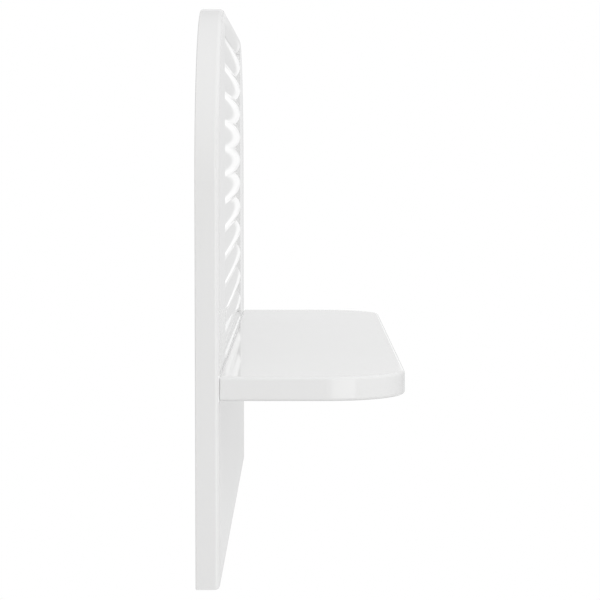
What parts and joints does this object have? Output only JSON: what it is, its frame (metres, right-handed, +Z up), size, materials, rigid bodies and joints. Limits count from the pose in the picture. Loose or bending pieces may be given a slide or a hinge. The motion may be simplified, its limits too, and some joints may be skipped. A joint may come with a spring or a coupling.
{
  "type": "floating wall shelf",
  "caption": "White gloss wall shelf: upright back panel with rounded top corners and a ribbed field let flush into its front, and a projecting shelf board with rounded front corners, hung on keyhole plates.",
  "frame": {"origin": "middle of the back face, on the wall plane, halfway along the length and halfway up the panel", "axes": "+X along the length, to the right seen from the front; +Y into the wall; +Z up"},
  "size_m": [0.6, 0.13, 0.36],
  "materials": {
    "white_lacquer": "white gloss lacquer on fibreboard",
    "white_lacquer_ribs": "white gloss lacquer on ribbed fibreboard",
    "beech": "plain turned beech",
    "zinc_screws": "bright zinc plating",
    "zinc_plate": "bright zinc plating"
  },
  "bodies": {
    "root": {"back_panel": "white_lacquer", "ribbed_insert": "white_lacquer_ribs", "shelf_board": "white_lacquer", "shelf_dowels": "beech", "shelf_screws": "zinc_screws", "hanger_plate_left": "zinc_plate", "hanger_plate_right": "zinc_plate", "hanger_screws": "zinc_screws"}
  },
  "joints": []
}
